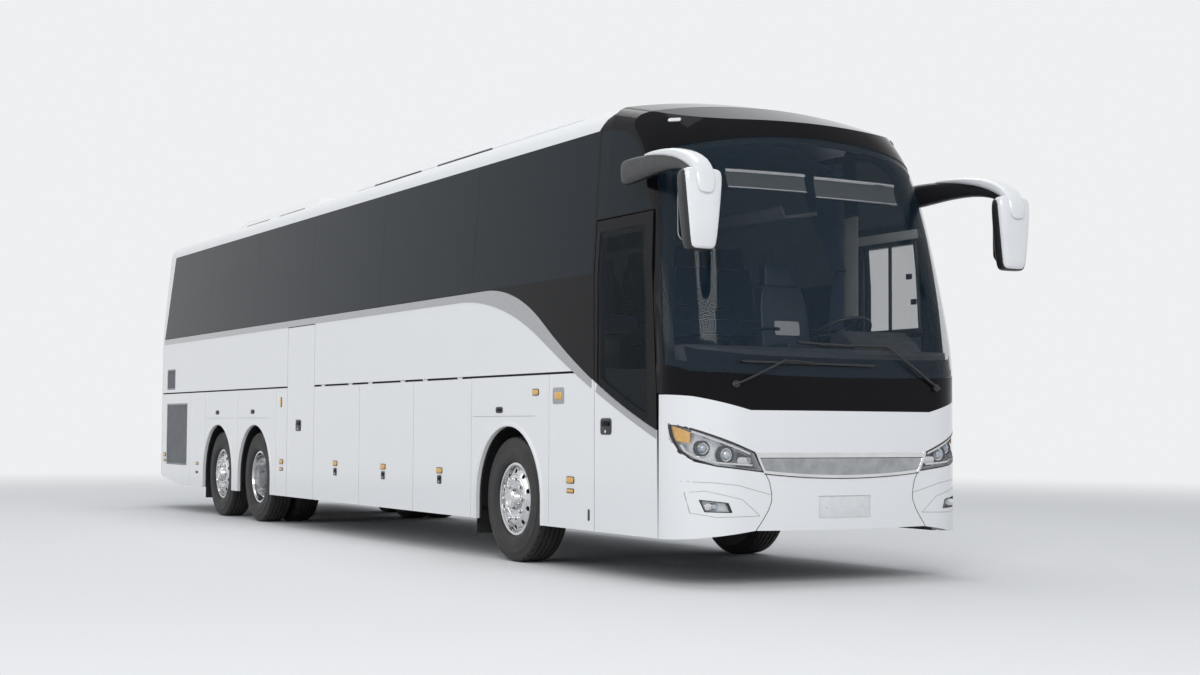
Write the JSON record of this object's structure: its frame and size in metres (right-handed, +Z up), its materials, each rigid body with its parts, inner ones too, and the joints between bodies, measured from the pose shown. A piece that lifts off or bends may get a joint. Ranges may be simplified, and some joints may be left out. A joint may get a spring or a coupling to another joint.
{
  "type": "three-axle coach bus",
  "caption": "White three-axle touring coach with a black wraparound windscreen band, silver side stripe, plug doors, luggage flaps and roof air-conditioning pods.",
  "frame": {"origin": "on the ground under the middle of the bus's bounding box", "axes": "+X forward, +Y to the bus's left, +Z up"},
  "size_m": [14.327, 3.0892, 3.815],
  "materials": {
    "white_paint": "glossy white coach paint",
    "silver_paint": "metallic silver stripe",
    "gloss_black": "glossy black panels and frames",
    "tinted_glass": "dark tinted safety glass",
    "clear_glass": "clear laminated windscreen",
    "lamp_lens": "clear lamp covers",
    "red_lens": "red lamp lenses",
    "chrome": "polished chrome",
    "polished_alloy": "polished forged alloy",
    "tyre_rubber": "black tyre rubber",
    "mudflap_rubber": "matt black rubber",
    "black_plastic": "satin black plastic",
    "white_gloss_plastic": "white mirror covers",
    "louvre_plastic": "grey slats",
    "dash_plastic": "dark grey soft plastic",
    "seat_leather": "dark blue-grey leather",
    "seat_fabric": "dark blue seat cloth",
    "cabin_panel": "light grey cabin lining",
    "floor_covering": "grey floor covering",
    "bay_lining": "bare sheet",
    "chassis_paint": "black chassis paint",
    "cast_iron": "bare castings"
  },
  "bodies": {
    "coach": {"axle_beams": "chassis_paint", "black_panels": "gloss_black", "cab_seats": "seat_leather", "chassis_frame": "chassis_paint", "dashboard": "dash_plastic", "engine_block": "cast_iron", "floor_deck": "floor_covering", "front_lamps": "lamp_lens", "front_panels": "white_paint", "grille": "chrome", "luggage_bays": "bay_lining", "luggage_racks": "cabin_panel", "mirror_arms": "black_plastic", "mirror_heads": "white_gloss_plastic", "mudflaps": "mudflap_rubber", "passenger_seats": "seat_fabric", "rear_lamps": "red_lens", "rear_wall": "white_paint", "rear_window": "tinted_glass", "roof_pods": "white_paint", "roof_shell": "white_paint", "side_glass": "tinted_glass", "side_louvres": "louvre_plastic", "side_panels_left": "white_paint", "side_panels_right": "white_paint", "side_stripes": "silver_paint", "window_frames": "gloss_black", "windscreen": "clear_glass", "wipers": "black_plastic"},
    "door_arm": {"front_door_arm": "chassis_paint"},
    "entrance_door": {"front_door": "white_paint", "front_door_frame": "gloss_black", "front_door_glass": "tinted_glass"},
    "mid_arm": {"mid_door_arm": "chassis_paint"},
    "middle_door": {"mid_door": "white_paint"},
    "engine_door": {"engine_lid": "white_paint"},
    "hub_right": {"knuckle_right": "cast_iron"},
    "hub_left": {"knuckle_left": "cast_iron"},
    "hand_wheel": {"steering_wheel": "black_plastic"},
    "flap_right_1": {"locker_flap_right_1": "white_paint"},
    "flap_right_2": {"locker_flap_right_2": "white_paint"},
    "flap_right_3": {"locker_flap_right_3": "white_paint"},
    "flap_left_1": {"locker_flap_left_1": "white_paint"},
    "flap_left_2": {"locker_flap_left_2": "white_paint"},
    "flap_left_3": {"locker_flap_left_3": "white_paint"},
    "wheel_front_right": {"rim_front_right": "polished_alloy", "tyre_front_right": "tyre_rubber"},
    "wheel_front_left": {"rim_front_left": "polished_alloy", "tyre_front_left": "tyre_rubber"},
    "wheel_drive_right": {"rim_drive_right": "polished_alloy", "tyre_drive_right": "tyre_rubber"},
    "wheel_drive_left": {"rim_drive_left": "polished_alloy", "tyre_drive_left": "tyre_rubber"},
    "wheel_tag_right": {"rim_tag_right": "polished_alloy", "tyre_tag_right": "tyre_rubber"},
    "wheel_tag_left": {"rim_tag_left": "polished_alloy", "tyre_tag_left": "tyre_rubber"}
  },
  "joints": [
    {"name": "front_door_arm_swing", "type": "hinge", "parent": "coach", "child": "door_arm", "pos_m": [6.172, -1.13, 1.5], "axis": [0, 0, 1], "range_deg": [0, 90]},
    {"name": "front_door_swing", "type": "hinge", "parent": "door_arm", "child": "entrance_door", "pos_m": [5.53, -1.15, 1.5], "axis": [0, 0, 1], "range_deg": [-90, 0]},
    {"name": "mid_door_arm_swing", "type": "hinge", "parent": "coach", "child": "mid_arm", "pos_m": [-1.616, -1.13, 1.2], "axis": [0, 0, -1], "range_deg": [0, 90]},
    {"name": "mid_door_swing", "type": "hinge", "parent": "mid_arm", "child": "middle_door", "pos_m": [-1.01, -1.15, 1.2], "axis": [0, 0, -1], "range_deg": [-90, 0]},
    {"name": "flap_right_1_lift", "type": "hinge", "parent": "coach", "child": "flap_right_1", "pos_m": [-0.145, -1.269, 1.552], "axis": [-1, 0, 0], "range_deg": [0, 88]},
    {"name": "flap_right_2_lift", "type": "hinge", "parent": "coach", "child": "flap_right_2", "pos_m": [1.21, -1.269, 1.552], "axis": [-1, 0, 0], "range_deg": [0, 88]},
    {"name": "flap_right_3_lift", "type": "hinge", "parent": "coach", "child": "flap_right_3", "pos_m": [2.54, -1.269, 1.552], "axis": [-1, 0, 0], "range_deg": [0, 88]},
    {"name": "flap_left_1_lift", "type": "hinge", "parent": "coach", "child": "flap_left_1", "pos_m": [-0.145, 1.269, 1.552], "axis": [1, 0, 0], "range_deg": [0, 88]},
    {"name": "flap_left_2_lift", "type": "hinge", "parent": "coach", "child": "flap_left_2", "pos_m": [1.21, 1.269, 1.552], "axis": [1, 0, 0], "range_deg": [0, 88]},
    {"name": "flap_left_3_lift", "type": "hinge", "parent": "coach", "child": "flap_left_3", "pos_m": [2.54, 1.269, 1.552], "axis": [1, 0, 0], "range_deg": [0, 88]},
    {"name": "engine_door_lift", "type": "hinge", "parent": "coach", "child": "engine_door", "pos_m": [-7.163, 0, 1.959], "axis": [0, 1, 0], "range_deg": [0, 75]},
    {"name": "steer_right", "type": "hinge", "parent": "coach", "child": "hub_right", "pos_m": [3.9, -0.985, 0.522], "axis": [0, 0, 1], "range_deg": [-42, 42]},
    {"name": "steer_left", "type": "hinge", "parent": "coach", "child": "hub_left", "pos_m": [3.9, 0.985, 0.522], "axis": [0, 0, 1], "range_deg": [-42, 42]},
    {"name": "steering_wheel_turn", "type": "hinge", "parent": "coach", "child": "hand_wheel", "pos_m": [5.96, 0.64, 1.88], "axis": [-0.4695, 0, 0.8829], "range_deg": [-630, 630]},
    {"name": "wheel_front_right_spin", "type": "hinge", "parent": "hub_right", "child": "wheel_front_right", "pos_m": [3.9, -1.087, 0.522], "axis": [0, 1, 0], "continuous": true},
    {"name": "wheel_front_left_spin", "type": "hinge", "parent": "hub_left", "child": "wheel_front_left", "pos_m": [3.9, 1.087, 0.522], "axis": [0, 1, 0], "continuous": true},
    {"name": "wheel_drive_right_spin", "type": "hinge", "parent": "coach", "child": "wheel_drive_right", "pos_m": [-2.825, -0.9195, 0.522], "axis": [0, 1, 0], "continuous": true},
    {"name": "wheel_drive_left_spin", "type": "hinge", "parent": "coach", "child": "wheel_drive_left", "pos_m": [-2.825, 0.9195, 0.522], "axis": [0, 1, 0], "continuous": true},
    {"name": "wheel_tag_right_spin", "type": "hinge", "parent": "coach", "child": "wheel_tag_right", "pos_m": [-4.267, -1.087, 0.522], "axis": [0, 1, 0], "continuous": true},
    {"name": "wheel_tag_left_spin", "type": "hinge", "parent": "coach", "child": "wheel_tag_left", "pos_m": [-4.267, 1.087, 0.522], "axis": [0, 1, 0], "continuous": true}
  ],
  "couplings": [
    {"joint": "front_door_swing", "follows": "front_door_arm_swing", "ratio": -1},
    {"joint": "mid_door_swing", "follows": "mid_door_arm_swing", "ratio": -1},
    {"joint": "steer_left", "follows": "steer_right", "ratio": 1},
    {"joint": "steering_wheel_turn", "follows": "steer_right", "ratio": 15}
  ]
}
